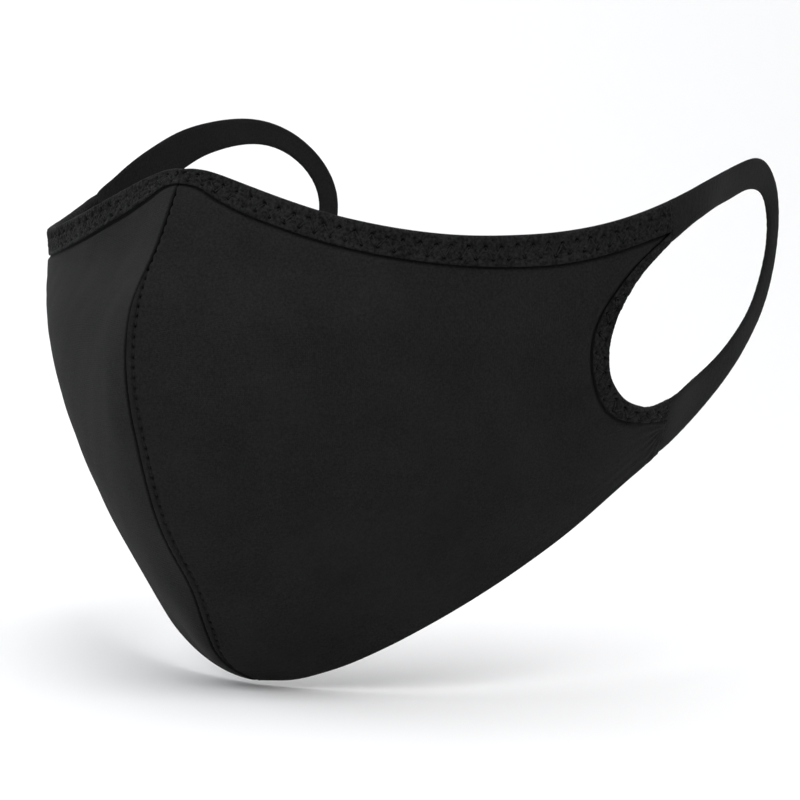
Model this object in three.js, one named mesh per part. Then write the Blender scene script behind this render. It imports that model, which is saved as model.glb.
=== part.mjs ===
// Cloth face mask: two shaped panels joined by a front seam, taped edges and two flat ear loops.
// Millimetres, +Z up. The front of the mask faces -Y and the wearer's left is +X.
// The origin is the top edge of the mask at the middle of the nose bridge.
import * as THREE from 'three'
import { mergeVertices } from 'three/addons/utils/BufferGeometryUtils.js'

// Driving dimensions
const maskHeight = 134
const halfWidth = 96.5
const panelDepth = 77
const noseReach = 20
const clothThickness = 1.4
const tapeThickness = 1.0
const tapeWidth = 7.2
const noseTapeWidth = 5.2
const noseTaper = 22
const earTapeWidth = 5.2
const loopReach = 91
const strapWidth = 7.6
const strapThickness = 1.2
const strapEdgeRound = 0.4
const rightLoopLift = 12
const pieceGap = 0.3

// Derived sizes
const foldInset = tapeThickness + pieceGap
const halfGap = pieceGap / 2

// Share of the panel's height where the ear hole starts and ends on the rear edge
const earHoleTop = 0.14
const earHoleBottom = 0.82

// One row for each line that runs from the front seam to the rear edge.
// at: share of the way from the top edge to the bottom edge.
// seamFront: seam's reach before the nose bridge, share of noseReach; seamDrop: share of maskHeight.
// leaveAngle: degrees in plan from the side axis; leaveReach: share of halfWidth.
// leaveRise: share of maskHeight.
// rearOut: share of halfWidth; rearBack: share of panelDepth; rearDrop: share of maskHeight.
// arriveAngle: degrees; arriveReach: share of panelDepth; arriveRise: share of maskHeight.
const panelRows = [
  { at: 0, seamFront: 0, seamDrop: 0, leaveAngle: 6, leaveReach: 0.495, leaveRise: -0.1,
    rearOut: 1, rearBack: 1.003, rearDrop: 0.058, arriveAngle: 77, arriveReach: 0.715, arriveRise: 0.132 },
  { at: 0.14, seamFront: 0.41, seamDrop: 0.126, leaveAngle: 17, leaveReach: 0.466, leaveRise: -0.08,
    rearOut: 1.006, rearBack: 0.991, rearDrop: 0.131, arriveAngle: 77, arriveReach: 0.685, arriveRise: 0.084 },
  { at: 0.35, seamFront: 0.975, seamDrop: 0.27, leaveAngle: 21, leaveReach: 0.445, leaveRise: -0.065,
    rearOut: 1.01, rearBack: 0.999, rearDrop: 0.218, arriveAngle: 76, arriveReach: 0.657, arriveRise: 0.064 },
  { at: 0.6, seamFront: 0.9, seamDrop: 0.49, leaveAngle: 18.5, leaveReach: 0.435, leaveRise: -0.05,
    rearOut: 0.997, rearBack: 1.042, rearDrop: 0.32, arriveAngle: 74, arriveReach: 0.6, arriveRise: 0.066 },
  { at: 0.82, seamFront: 0.185, seamDrop: 0.75, leaveAngle: 14.5, leaveReach: 0.378, leaveRise: 0.022,
    rearOut: 0.95, rearBack: 1.118, rearDrop: 0.449, arriveAngle: 74, arriveReach: 0.527, arriveRise: 0.096 },
  { at: 1, seamFront: -1.445, seamDrop: 1, leaveAngle: 1, leaveReach: 0.428, leaveRise: 0.031,
    rearOut: 0.864, rearBack: 1.209, rearDrop: 0.548, arriveAngle: 74, arriveReach: 0.44, arriveRise: 0.174 },
]

// Front edge of the ear hole: share of the hole's height, and share of the way from seam to rear edge
const earHoleRows = [
  { at: 0, across: 1 },
  { at: 0.12, across: 0.95 },
  { at: 0.3, across: 0.9 },
  { at: 0.5, across: 0.86 },
  { at: 0.7, across: 0.85 },
  { at: 0.85, across: 0.87 },
  { at: 0.95, across: 0.92 },
  { at: 1, across: 1 },
]

// Width of the ear-hole tape, narrow under the top tape and full lower down: share of earTapeWidth
const earTapeRows = [
  { at: 0, width: 0.42 },
  { at: 0.25, width: 0.62 },
  { at: 0.55, width: 0.92 },
  { at: 0.8, width: 1 },
  { at: 1, width: 1.05 },
]

// Share of the hole's height where the ear-hole tape comes out from under the top tape
const earTapeTopShare = 0.03

// Share of the hole's height, at each end, over which the tape's ends turn to follow the joints
const holeEndShare = 0.12

// Ear loop between its two joints, one row for each bend of the strap.
// at: share of the way round; out: share of halfWidth; back: share of loopReach behind the top joint.
// drop: share of maskHeight; heading and lean: degrees that the strap's face turns and tips.
// width: share of strapWidth; lift: share of rightLoopLift.
const loopRows = [
  { at: 0.13, out: 1.001, back: 0.18, drop: 0.058, heading: 95, lean: -1, width: 1, lift: 0.38 },
  { at: 0.29, out: 0.947, back: 0.412, drop: 0.035, heading: 101, lean: -5, width: 1, lift: 1 },
  { at: 0.46, out: 0.864, back: 0.818, drop: 0.022, heading: 98, lean: -11, width: 1, lift: 0.96 },
  { at: 0.57, out: 0.809, back: 0.998, drop: 0.116, heading: 97, lean: -7, width: 1, lift: 0.56 },
  { at: 0.67, out: 0.822, back: 0.915, drop: 0.24, heading: 100, lean: -2, width: 1, lift: 0.42 },
  { at: 0.82, out: 0.883, back: 0.588, drop: 0.374, heading: 103, lean: -1, width: 1.05, lift: 0.04 },
]

// Heading and lean of the strap's face at its two joints, and the share of its length to settle in
const topJointTurn = { heading: 80, lean: 0 }
const bottomJointTurn = { heading: 80, lean: -30 }
const jointBlend = 0.1

// Mesh resolution
const panelColumns = 26
const rearCrowding = 0.5
const seamRowsAboveHole = 3
const seamRowsBesideHole = 20
const holeFootCrowding = 0.4
const seamRowsBelowHole = 5
const loopSections = 46
const derivativeStep = 0.002
const walkSteps = 3
const weldTolerance = 1e-4

// Smooth curve through a table's column, for any place along the table
function column(rows, name, at) {
  const last = rows.length - 1
  const place = THREE.MathUtils.clamp(at, rows[0].at, rows[last].at)
  let i = 0
  while (i < last - 1 && place > rows[i + 1].at) {
    i += 1
  }
  const slopeOf = (k) => (rows[k + 1][name] - rows[k][name]) / (rows[k + 1].at - rows[k].at)
  const innerSlope = (k) => {
    const before = rows[k].at - rows[k - 1].at
    const after = rows[k + 1].at - rows[k].at
    return (slopeOf(k - 1) * after + slopeOf(k) * before) / (before + after)
  }
  const slope = (k) => {
    if (k === 0) {
      return 1.5 * slopeOf(0) - 0.5 * innerSlope(1)
    }
    if (k === last) {
      return 1.5 * slopeOf(last - 1) - 0.5 * innerSlope(last - 1)
    }
    return innerSlope(k)
  }
  const span = rows[i + 1].at - rows[i].at
  const t = (place - rows[i].at) / span
  const t2 = t * t
  const t3 = t2 * t
  return (2 * t3 - 3 * t2 + 1) * rows[i][name] + (t3 - 2 * t2 + t) * span * slope(i) +
    (3 * t2 - 2 * t3) * rows[i + 1][name] + (t3 - t2) * span * slope(i + 1)
}

// Outer face of the left panel: across goes from seam to rear edge, down from top to bottom edge
function facePoint(across, down) {
  const value = (name) => column(panelRows, name, down)
  const leave = THREE.MathUtils.degToRad(value('leaveAngle'))
  const arrive = THREE.MathUtils.degToRad(value('arriveAngle'))
  const leaveReach = value('leaveReach') * halfWidth
  const arriveReach = value('arriveReach') * panelDepth
  const seam = new THREE.Vector3(0, -value('seamFront') * noseReach, -value('seamDrop') * maskHeight)
  const rear = new THREE.Vector3(value('rearOut') * halfWidth, value('rearBack') * panelDepth,
    -value('rearDrop') * maskHeight)
  const leaveHandle = seam.clone().add(new THREE.Vector3(Math.cos(leave) * leaveReach,
    Math.sin(leave) * leaveReach, value('leaveRise') * maskHeight))
  const arriveHandle = rear.clone().sub(new THREE.Vector3(Math.cos(arrive) * arriveReach,
    Math.sin(arrive) * arriveReach, value('arriveRise') * maskHeight))
  const t = across
  const s = 1 - t
  return seam.multiplyScalar(s * s * s)
    .addScaledVector(leaveHandle, 3 * s * s * t)
    .addScaledVector(arriveHandle, 3 * s * t * t)
    .addScaledVector(rear, t * t * t)
}

// Change of the face point for a unit change of across and of down
function faceSlopes(across, down) {
  const a0 = Math.max(across - derivativeStep, 0)
  const a1 = Math.min(across + derivativeStep, 1)
  const d0 = Math.max(down - derivativeStep, 0)
  const d1 = Math.min(down + derivativeStep, 1)
  const acrossSlope = facePoint(a1, down).sub(facePoint(a0, down)).divideScalar(a1 - a0)
  const downSlope = facePoint(across, d1).sub(facePoint(across, d0)).divideScalar(d1 - d0)
  return { acrossSlope, downSlope }
}

// Outward direction at a face point; on the seam it stays in the middle plane, as a mitre
function faceNormal(across, down) {
  const { acrossSlope, downSlope } = faceSlopes(across, down)
  const normal = acrossSlope.cross(downSlope).normalize().negate()
  if (across === 0) {
    normal.x = 0
    normal.divideScalar(normal.lengthSq())
  }
  return normal
}

// Point at a height above the outer face of the left panel, below it where the height is negative
function layerPoint(place, height) {
  return facePoint(place.across, place.down).addScaledVector(faceNormal(place.across, place.down), height)
}

// Place on the face reached from a start by going a distance in a direction along the face
function walk(start, direction, distance) {
  let place = { ...start }
  for (let i = 0; i < walkSteps; i += 1) {
    const { acrossSlope, downSlope } = faceSlopes(place.across, place.down)
    const aa = acrossSlope.dot(acrossSlope)
    const ad = acrossSlope.dot(downSlope)
    const dd = downSlope.dot(downSlope)
    const ra = acrossSlope.dot(direction)
    const rd = downSlope.dot(direction)
    const scale = distance / walkSteps / (aa * dd - ad * ad)
    place = {
      across: place.across + (ra * dd - rd * ad) * scale,
      down: place.down + (rd * aa - ra * ad) * scale,
    }
  }
  return place
}

// Place a distance in from the top edge
function belowTop(across, distance) {
  const { acrossSlope, downSlope } = faceSlopes(across, 0)
  const along = acrossSlope.normalize()
  const direction = downSlope.normalize()
  const square = direction.clone().addScaledVector(along, -along.dot(direction)).normalize()
  direction.divideScalar(direction.dot(square))
  return walk({ across, down: 0 }, direction, distance)
}

// Place on the front edge of the ear hole, by share of the hole's height
function holeEdge(share) {
  return {
    across: Math.min(column(earHoleRows, 'across', share), 1),
    down: THREE.MathUtils.lerp(earHoleTop, earHoleBottom, share),
  }
}

// Place a distance in from the front edge of the ear hole; at its two ends it goes along the joint
function besideHole(share, distance) {
  const before = holeEdge(Math.max(share - derivativeStep, 0))
  const after = holeEdge(Math.min(share + derivativeStep, 1))
  const along = facePoint(after.across, after.down).sub(facePoint(before.across, before.down)).normalize()
  const start = holeEdge(share)
  const square = along.clone().cross(faceNormal(start.across, start.down)).normalize()
  const direction = square.clone()
  const nearEnd = Math.max(1 - share / holeEndShare, 1 - (1 - share) / holeEndShare, 0)
  if (nearEnd > 0) {
    const joint = faceSlopes(start.across, start.down).downSlope.normalize()
    joint.multiplyScalar(share < 0.5 ? -1 : 1)
    direction.lerp(joint, nearEnd)
  }
  direction.divideScalar(direction.dot(square))
  return walk(start, direction, distance)
}

// Side walls of a solid through rings of points with the same count
function loft(rings) {
  const positions = []
  const push = (a, b, c) => positions.push(...a.toArray(), ...b.toArray(), ...c.toArray())
  const count = rings[0].length
  for (let i = 0; i < rings.length - 1; i += 1) {
    for (let j = 0; j < count; j += 1) {
      const k = (j + 1) % count
      push(rings[i][j], rings[i + 1][j], rings[i + 1][k])
      push(rings[i][j], rings[i + 1][k], rings[i][k])
    }
  }
  return { positions, push }
}

// End cap of a ring, by triangles of the ring's own outline
function capRing(ring, flip, push, frame) {
  const flat = ring.map((p) => {
    const d = p.clone().sub(frame.origin)
    return new THREE.Vector2(d.dot(frame.x), d.dot(frame.y))
  })
  const faces = THREE.ShapeUtils.triangulateShape(flat, [])
  const ringTurn = THREE.ShapeUtils.area(flat) > 0
  for (const [a, b, c] of faces) {
    const tri = [flat[a], flat[b], flat[c]]
    const sameTurn = THREE.ShapeUtils.area(tri) > 0 === ringTurn
    const order = sameTurn !== flip ? [a, b, c] : [a, c, b]
    push(ring[order[0]], ring[order[1]], ring[order[2]])
  }
}

// Named mesh from a triangle soup, turned so that its faces point out
function solidMesh(name, positions, material) {
  let geometry = new THREE.BufferGeometry()
  geometry.setAttribute('position', new THREE.Float32BufferAttribute(positions, 3))
  geometry = mergeVertices(geometry, weldTolerance)
  const index = geometry.getIndex().array
  const spot = geometry.getAttribute('position')
  const [a, b, c] = [new THREE.Vector3(), new THREE.Vector3(), new THREE.Vector3()]
  let volume = 0
  for (let i = 0; i < index.length; i += 3) {
    a.fromBufferAttribute(spot, index[i])
    b.fromBufferAttribute(spot, index[i + 1])
    c.fromBufferAttribute(spot, index[i + 2])
    volume += a.dot(b.cross(c))
  }
  if (volume < 0) {
    for (let i = 0; i < index.length; i += 3) {
      const kept = index[i + 1]
      index[i + 1] = index[i + 2]
      index[i + 2] = kept
    }
  }
  geometry.computeVertexNormals()
  const mesh = new THREE.Mesh(geometry, material)
  mesh.name = name
  return mesh
}

// Left point as it is, or mirrored to the wearer's right
function sided(point, side) {
  return side > 0 ? point : new THREE.Vector3(-point.x, point.y, point.z)
}

// Shares of the way from 0 to 1 that stand closer together towards 1
function crowdedShare(step, steps, crowding) {
  const t = step / steps
  return (1 + crowding) * t - crowding * t * t
}

// Share of the way from the seam to the rear edge of one column of the panel
const columnShare = (j) => crowdedShare(j, panelColumns, rearCrowding)

// Share of the ear hole's height of one row of the panel
const holeShare = (i) => crowdedShare(i, seamRowsBesideHole, holeFootCrowding)

// Stations from the top edge to the bottom edge, with one on each end of the ear hole
function downStations() {
  const stations = []
  for (let i = 0; i < seamRowsAboveHole; i += 1) {
    stations.push((earHoleTop * i) / seamRowsAboveHole)
  }
  for (let i = 0; i < seamRowsBesideHole; i += 1) {
    stations.push(THREE.MathUtils.lerp(earHoleTop, earHoleBottom, holeShare(i)))
  }
  for (let i = 0; i <= seamRowsBelowHole; i += 1) {
    stations.push(THREE.MathUtils.lerp(earHoleBottom, 1, i / seamRowsBelowHole))
  }
  return stations
}

// Share of a row's length that the half gap takes at its rear end
function rearGapShare(down) {
  return halfGap / faceSlopes(1, down).acrossSlope.length()
}

// Rear edge of the cloth: the top joint, the ear hole's inset edge and the bottom joint
function rearEdge(down, topPlace) {
  if (down >= earHoleTop && down <= earHoleBottom) {
    const place = besideHole((down - earHoleTop) / (earHoleBottom - earHoleTop), foldInset)
    place.across = Math.min(place.across, 1 - rearGapShare(down))
    return place
  }
  if (down > earHoleBottom) {
    const corner = besideHole(1, foldInset)
    const share = (down - earHoleBottom) / (1 - earHoleBottom)
    return { across: 1 - rearGapShare(down), down: THREE.MathUtils.lerp(corner.down, 1, share) }
  }
  const corner = besideHole(0, foldInset)
  const share = down / earHoleTop
  return { across: 1 - rearGapShare(down), down: THREE.MathUtils.lerp(topPlace.down, corner.down, share) }
}

// One panel: its grid blends the four edges, and each grid place gives an outer and an inner point
function panel(name, side, material) {
  const stations = downStations()
  const topPlaces = []
  for (let j = 0; j <= panelColumns; j += 1) {
    topPlaces.push(belowTop(columnShare(j) * (1 - rearGapShare(0)), foldInset))
  }
  const topRear = topPlaces[panelColumns]
  const topSeam = topPlaces[0]
  const bottomSeam = { across: 0, down: 1 }
  const bottomRear = rearEdge(1, topRear)
  const placeAt = (j, down) => {
    const share = columnShare(j)
    const top = topPlaces[j]
    const bottom = { across: share * bottomRear.across, down: 1 }
    const seam = { across: 0, down: THREE.MathUtils.lerp(topSeam.down, 1, down) }
    const rear = rearEdge(down, topRear)
    const blend = (key) => (1 - down) * top[key] + down * bottom[key] +
      (1 - share) * seam[key] + share * rear[key] -
      (1 - share) * ((1 - down) * topSeam[key] + down * bottomSeam[key]) -
      share * ((1 - down) * topRear[key] + down * bottomRear[key])
    return { across: Math.max(blend('across'), 0), down: blend('down') }
  }
  const outer = []
  const inner = []
  for (const down of stations) {
    const outerRow = []
    const innerRow = []
    for (let j = 0; j <= panelColumns; j += 1) {
      const place = placeAt(j, down)
      if (j === 0) {
        place.across = 0
      }
      const front = layerPoint(place, 0)
      const back = layerPoint(place, -clothThickness)
      if (j === 0) {
        front.x = halfGap
        back.x = halfGap
      }
      outerRow.push(sided(front, side))
      innerRow.push(sided(back, side))
    }
    outer.push(outerRow)
    inner.push(innerRow)
  }
  const rings = outer.map((row, i) => [...row, ...inner[i].slice().reverse()])
  const { positions, push } = loft(rings)
  for (const i of [0, rings.length - 1]) {
    const flip = i === 0
    for (let j = 0; j < panelColumns; j += 1) {
      const quad = [outer[i][j], outer[i][j + 1], inner[i][j + 1], inner[i][j]]
      const order = flip ? [0, 3, 2, 1] : [0, 1, 2, 3]
      const [p, q, r, s] = order.map((k) => quad[k])
      push(p, s, r)
      push(p, r, q)
    }
  }
  return solidMesh(name, positions, material)
}

// Section of a tape folded over an edge: distances in from the fold and heights above the outer face
function tapeSection(width) {
  const top = foldInset
  const bottom = -clothThickness - foldInset
  const bevel = tapeThickness / 2
  return [
    { inward: width, height: pieceGap },
    { inward: width, height: top },
    { inward: bevel, height: top },
    { inward: 0, height: top - bevel },
    { inward: 0, height: bottom + bevel },
    { inward: bevel, height: bottom },
    { inward: width, height: bottom },
    { inward: width, height: -clothThickness - pieceGap },
    { inward: tapeThickness, height: -clothThickness - pieceGap },
    { inward: tapeThickness, height: pieceGap },
  ]
}

// Solid from tape sections, each capped by its own outline
function tapeMesh(name, rings, material) {
  const { positions, push } = loft(rings)
  for (const end of [0, rings.length - 1]) {
    const ring = rings[end]
    const origin = ring[0]
    const x = ring[2].clone().sub(ring[1]).normalize()
    const y = ring[0].clone().sub(ring[1]).normalize()
    y.addScaledVector(x, -x.dot(y)).normalize()
    capRing(ring, end !== 0, push, { origin, x, y })
  }
  return solidMesh(name, positions, material)
}

// Width of the top tape: narrower over the nose bridge
function topTapeWidth(across) {
  const distance = across * halfWidth
  const share = THREE.MathUtils.smoothstep(distance, 0, noseTaper)
  return THREE.MathUtils.lerp(noseTapeWidth, tapeWidth, share)
}

function topBinding(name, material) {
  const rings = []
  for (let j = -panelColumns; j <= panelColumns; j += 1) {
    const across = columnShare(Math.abs(j)) * (1 - rearGapShare(0))
    const side = j < 0 ? -1 : 1
    rings.push(tapeSection(topTapeWidth(across)).map(({ inward, height }) => {
      const place = belowTop(across, inward)
      if (j === 0) {
        place.across = 0
      }
      const point = layerPoint(place, height)
      if (j === 0) {
        point.x = 0
      }
      return sided(point, side)
    }))
  }
  return tapeMesh(name, rings, material)
}

function earBinding(name, side, material) {
  const rings = []
  for (let i = 0; i <= seamRowsBesideHole; i += 1) {
    const share = Math.max(holeShare(i), earTapeTopShare)
    const width = column(earTapeRows, 'width', share) * earTapeWidth
    rings.push(tapeSection(width).map(({ inward, height }) => {
      const place = besideHole(share, inward)
      const limit = 1 - rearGapShare(place.down)
      place.across = Math.min(place.across, limit)
      return sided(layerPoint(place, height), side)
    }))
  }
  return tapeMesh(name, rings, material)
}

// Middle, half width and face direction of a strap joint on the panel's rear edge
function joint(downA, downB) {
  const middle = (downA + downB) / 2
  const a = layerPoint({ across: 1, down: downA }, -clothThickness / 2)
  const b = layerPoint({ across: 1, down: downB }, -clothThickness / 2)
  const outward = faceSlopes(1, middle).acrossSlope.normalize()
  return {
    centre: a.clone().add(b).multiplyScalar(0.5).addScaledVector(outward, halfGap),
    halfAcross: a.clone().sub(b).multiplyScalar(0.5),
  }
}

function earLoop(name, side, lift, material) {
  const top = joint(0, earHoleTop)
  const bottom = joint(1, earHoleBottom)
  const rows = loopRows.map((row) => ({
    at: row.at,
    x: row.out * halfWidth,
    y: panelDepth + row.back * loopReach,
    z: -row.drop * maskHeight + row.lift * lift,
    heading: row.heading,
    lean: row.lean,
    width: row.width * strapWidth,
  }))
  const endRow = (at, end, turn) => ({ at, x: end.centre.x, y: end.centre.y, z: end.centre.z, ...turn,
    width: 2 * end.halfAcross.length() })
  rows.unshift(endRow(0, top, topJointTurn))
  rows.push(endRow(1, bottom, bottomJointTurn))
  const centreAt = (at) => new THREE.Vector3(column(rows, 'x', at), column(rows, 'y', at), column(rows, 'z', at))
  const rings = []
  for (let i = 0; i <= loopSections; i += 1) {
    const at = i / loopSections
    const centre = centreAt(at)
    const ahead = centreAt(Math.min(at + derivativeStep, 1))
    const tangent = ahead.sub(centreAt(Math.max(at - derivativeStep, 0))).normalize()
    const heading = THREE.MathUtils.degToRad(column(rows, 'heading', at))
    const lean = THREE.MathUtils.degToRad(column(rows, 'lean', at))
    const facing = new THREE.Vector3(Math.sin(heading) * Math.cos(lean), -Math.cos(heading) * Math.cos(lean),
      Math.sin(lean))
    const across = facing.cross(tangent).normalize().multiplyScalar(column(rows, 'width', at) / 2)
    const nearTop = THREE.MathUtils.smoothstep(1 - at / jointBlend, 0, 1)
    const nearBottom = THREE.MathUtils.smoothstep(1 - (1 - at) / jointBlend, 0, 1)
    across.multiplyScalar(1 - nearTop - nearBottom)
      .addScaledVector(top.halfAcross, nearTop)
      .addScaledVector(bottom.halfAcross, nearBottom)
    const face = tangent.clone().cross(across).normalize()
    const halfWide = across.length()
    const wide = across.clone().normalize()
    const rim = strapThickness / 2 - strapEdgeRound
    const outline = [
      [halfWide, -rim], [halfWide, rim], [halfWide - strapEdgeRound, strapThickness / 2],
      [strapEdgeRound - halfWide, strapThickness / 2], [-halfWide, rim], [-halfWide, -rim],
      [strapEdgeRound - halfWide, -strapThickness / 2], [halfWide - strapEdgeRound, -strapThickness / 2],
    ]
    rings.push(outline.map(([w, h]) => sided(centre.clone().addScaledVector(wide, w).addScaledVector(face, h),
      side)))
  }
  return tapeMesh(name, rings, material)
}

// Dark knit cloth, the tape folded over its edges and the straps
const cloth = () => new THREE.MeshStandardMaterial({ color: 0x202124, roughness: 0.92, metalness: 0 })
const tape = () => new THREE.MeshStandardMaterial({ color: 0x1b1b1d, roughness: 0.95, metalness: 0 })
const strap = () => new THREE.MeshStandardMaterial({ color: 0x1f1f21, roughness: 0.9, metalness: 0 })

const mask = new THREE.Group()
mask.add(panel('left_panel', 1, cloth()))
mask.add(panel('right_panel', -1, cloth()))
mask.add(topBinding('top_binding', tape()))
mask.add(earBinding('left_ear_binding', 1, tape()))
mask.add(earBinding('right_ear_binding', -1, tape()))
mask.add(earLoop('left_ear_loop', 1, 0, strap()))
mask.add(earLoop('right_ear_loop', -1, rightLoopLift, strap()))

export default mask
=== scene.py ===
"""Cloth face mask: shaped knit panels, folded tapes, zigzag and straight stitches, and flat ear loops."""
import math

import bpy
import numpy as np
from mathutils import Matrix, Vector


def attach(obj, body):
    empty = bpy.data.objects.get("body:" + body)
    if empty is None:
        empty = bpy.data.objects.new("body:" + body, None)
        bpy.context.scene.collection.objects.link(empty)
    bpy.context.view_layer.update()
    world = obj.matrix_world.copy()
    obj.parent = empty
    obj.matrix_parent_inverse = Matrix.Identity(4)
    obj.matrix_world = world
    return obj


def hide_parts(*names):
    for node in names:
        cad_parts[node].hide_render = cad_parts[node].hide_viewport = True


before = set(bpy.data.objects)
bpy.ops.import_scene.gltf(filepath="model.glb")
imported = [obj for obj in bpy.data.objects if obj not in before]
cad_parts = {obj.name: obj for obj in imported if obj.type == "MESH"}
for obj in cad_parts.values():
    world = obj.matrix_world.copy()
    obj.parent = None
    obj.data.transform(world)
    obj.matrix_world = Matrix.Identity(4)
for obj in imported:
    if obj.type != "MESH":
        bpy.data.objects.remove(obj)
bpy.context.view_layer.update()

# Driving sizes in millimetres, as in the frame; the meshes are written in metres
MM = 0.001
MASK_HEIGHT = 134.0
HALF_WIDTH = 96.5
PANEL_DEPTH = 77.0
NOSE_REACH = 20.0
CLOTH = 1.4
TAPE_WIDTH = 7.2
EAR_TAPE_WIDTH = 5.2
LOOP_REACH = 91.0
STRAP_WIDTH = 7.6
STRAP_THICKNESS = 1.2
RIGHT_LOOP_LIFT = 12.0

# The ear hole's ends, as shares of the rear edge, and the step for slopes of the face
EAR_HOLE_TOP = 0.14
EAR_HOLE_BOTTOM = 0.82
STEP = 0.002

# Rows from the top edge to the bottom edge: seam, how a row leaves it, rear edge, how it arrives
PANEL_COLUMNS = ("at", "seam_front", "seam_drop", "leave_angle", "leave_reach", "leave_rise",
                 "rear_out", "rear_back", "rear_drop", "arrive_angle", "arrive_reach", "arrive_rise")
PANEL_ROWS = (
    (0.00, 0.0, 0.0, 6, 0.495, -0.1, 1.0, 1.003, 0.058, 77, 0.715, 0.132),
    (0.14, 0.41, 0.126, 17, 0.466, -0.08, 1.006, 0.991, 0.131, 77, 0.685, 0.084),
    (0.35, 0.975, 0.27, 21, 0.445, -0.065, 1.01, 0.999, 0.218, 76, 0.657, 0.064),
    (0.60, 0.9, 0.49, 18.5, 0.435, -0.05, 0.997, 1.042, 0.32, 74, 0.6, 0.066),
    (0.82, 0.185, 0.75, 14.5, 0.378, 0.022, 0.95, 1.118, 0.449, 74, 0.527, 0.096),
    (1.00, -1.445, 1.0, 1, 0.428, 0.031, 0.864, 1.209, 0.548, 74, 0.44, 0.174),
)
HOLE_COLUMNS = ("at", "across")
HOLE_ROWS = ((0, 1), (0.12, 0.95), (0.3, 0.9), (0.5, 0.86), (0.7, 0.85), (0.85, 0.87), (0.95, 0.92), (1, 1))
EAR_TAPE_COLUMNS = ("at", "width")
EAR_TAPE_ROWS = ((0, 0.2), (0.12, 0.45), (0.25, 0.62), (0.55, 0.92), (0.8, 1.0), (1, 1.05))
HOLE_END = 0.12
LOOP_COLUMNS = ("at", "out", "back", "drop", "heading", "lean", "width", "lift")
LOOP_ROWS = (
    (0.13, 1.001, 0.18, 0.058, 95, -1, 1, 0.38),
    (0.29, 0.947, 0.412, 0.035, 101, -5, 1, 1),
    (0.46, 0.864, 0.818, 0.022, 98, -11, 1, 0.96),
    (0.57, 0.809, 0.998, 0.116, 97, -7, 1, 0.56),
    (0.67, 0.822, 0.915, 0.24, 100, -2, 1, 0.42),
    (0.82, 0.883, 0.588, 0.374, 103, -1, 1.05, 0.04),
)

# Straps: heading and lean at the joints, how far the joints are felt, and how far the ends spread
TOP_JOINT_TURN = (80, 0)
BOTTOM_JOINT_TURN = (80, -30)
JOINT_BLEND = 0.1
JOINT_BULGE = 0.26
JOINT_BULGE_REACH = 6.0
HOLE_TOP_EXTRA = 1.4
HOLE_FOOT_EXTRA = 0.5
LOOP_EASE = 11.0
LOOP_WIDEN = 1.04
RIGHT_BASE_WIDEN = 0.16
RIGHT_BASE_AT = 0.21
RIGHT_BASE_REACH = 0.07
STRAP_COLUMNS = 17
STRAP_CUP = 0.22

# How far the cut bottom edge reaches past the frame's edge line, by length from the seam, in millimetres
FOOT_COLUMNS = ("at", "left", "right")
FOOT_REACH = (
    (0, 0.2, 0.2), (5, 0.55, 0.7), (10, 1.2, 1.0), (20, 1.2, 0.95), (27, 1.1, 0.5), (35, 0.7, 0.3),
    (50, 0.3, 0.3), (65, 0.35, 0.45), (80, 0.7, 0.55), (95, 1.3, 0.7), (110, 1.25, 0.8), (129, 1.5, 0.8),
)

# How far the ear tape's fold stands past the frame's hole edge, by length from the hole's top
EAR_LIFT_COLUMNS = ("at", "lift")
EAR_LIFT_ROWS = (
    (0, 1.1), (4, 0.7), (9, 0.45), (18, 0.1), (25, 0.4), (31, 0.6), (37, 0.1), (42, -0.2), (50, 0.05),
    (54, -0.45), (58, -1.0), (63, -1.45), (67, -0.5), (70, 0.65),
)

# How far each strap's middle stands from the frame's line, and how much wider each half is
STRAP_FIT_COLUMNS = ("at", "x", "y", "z", "wider")
LEFT_STRAP_FIT = (
    (0, 0, 0, 0, 0), (0.04, 0, 0, 0.2, -0.25), (0.08, 0.05, 0, 0.15, -0.25), (0.13, 0.05, 0, -0.1, 0.05),
    (0.25, 0, 0, -0.4, 0.4), (0.36, 0, 0, -0.3, 0.3), (0.42, 0.05, 0.05, 0.15, 0.35),
    (0.49, 0.15, 0.15, 0.55, -0.05), (0.55, 0.25, 0.2, 0.4, 0.05), (0.6, 0.3, 0.2, -0.1, 0.2),
    (0.7, 0.15, 0.05, -0.65, 0), (0.78, 0.05, 0, -0.35, 0.1), (0.86, 0.05, 0, -0.25, -0.25),
    (0.92, 0, -0.05, -0.35, -0.6), (0.97, 0, -0.05, -0.25, -0.05), (1, 0, 0, -0.15, 0.2),
)
RIGHT_STRAP_FIT = (
    (0, 0.05, 0, 0.4, 0.1), (0.04, -0.05, 0, -0.35, 0), (0.08, -0.15, 0.05, -0.7, 0),
    (0.13, -0.15, 0.05, -0.5, 0.2), (0.2, -0.2, 0.1, -0.5, 0.95), (0.25, -0.25, 0.1, -0.6, 1.2),
    (0.32, -0.05, 0.05, -0.15, 0.6), (0.37, 0, 0, 0, 0.2), (0.44, 0, 0, 0.05, -0.2),
    (0.5, -0.05, 0.05, 0.1, -0.1), (0.56, -0.1, 0.1, 0.05, 0.2), (0.7, 0, 0, 0, 0), (1, 0, 0, 0, 0),
)

# How far the front seam stands from the frame's near the chin, and how far from the seam that is felt
SEAM_FIT_COLUMNS = ("at", "y", "z")
SEAM_FIT = (
    (0.0, 0, 0), (0.7, 0, 0), (0.75, 0.6, 0), (0.8, 1.5, 0), (0.825, 1.9, 0), (0.85, 1.6, 0),
    (0.875, 0.2, -0.2), (0.9, -1.9, -0.5), (0.925, -4.2, -0.3), (0.95, -6.0, -0.1), (0.975, -4.9, -0.1),
    (1, 0, 0),
)
NEAR_SEAM_REACH = 24.0
FAR_SEAM_REACH = 14.0

# How far the lower strap corner and the right panel's middle stand out
CORNER_RISE = 0.85
CORNER_REACH = 13.0
FAR_SWELL = 0.36


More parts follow.
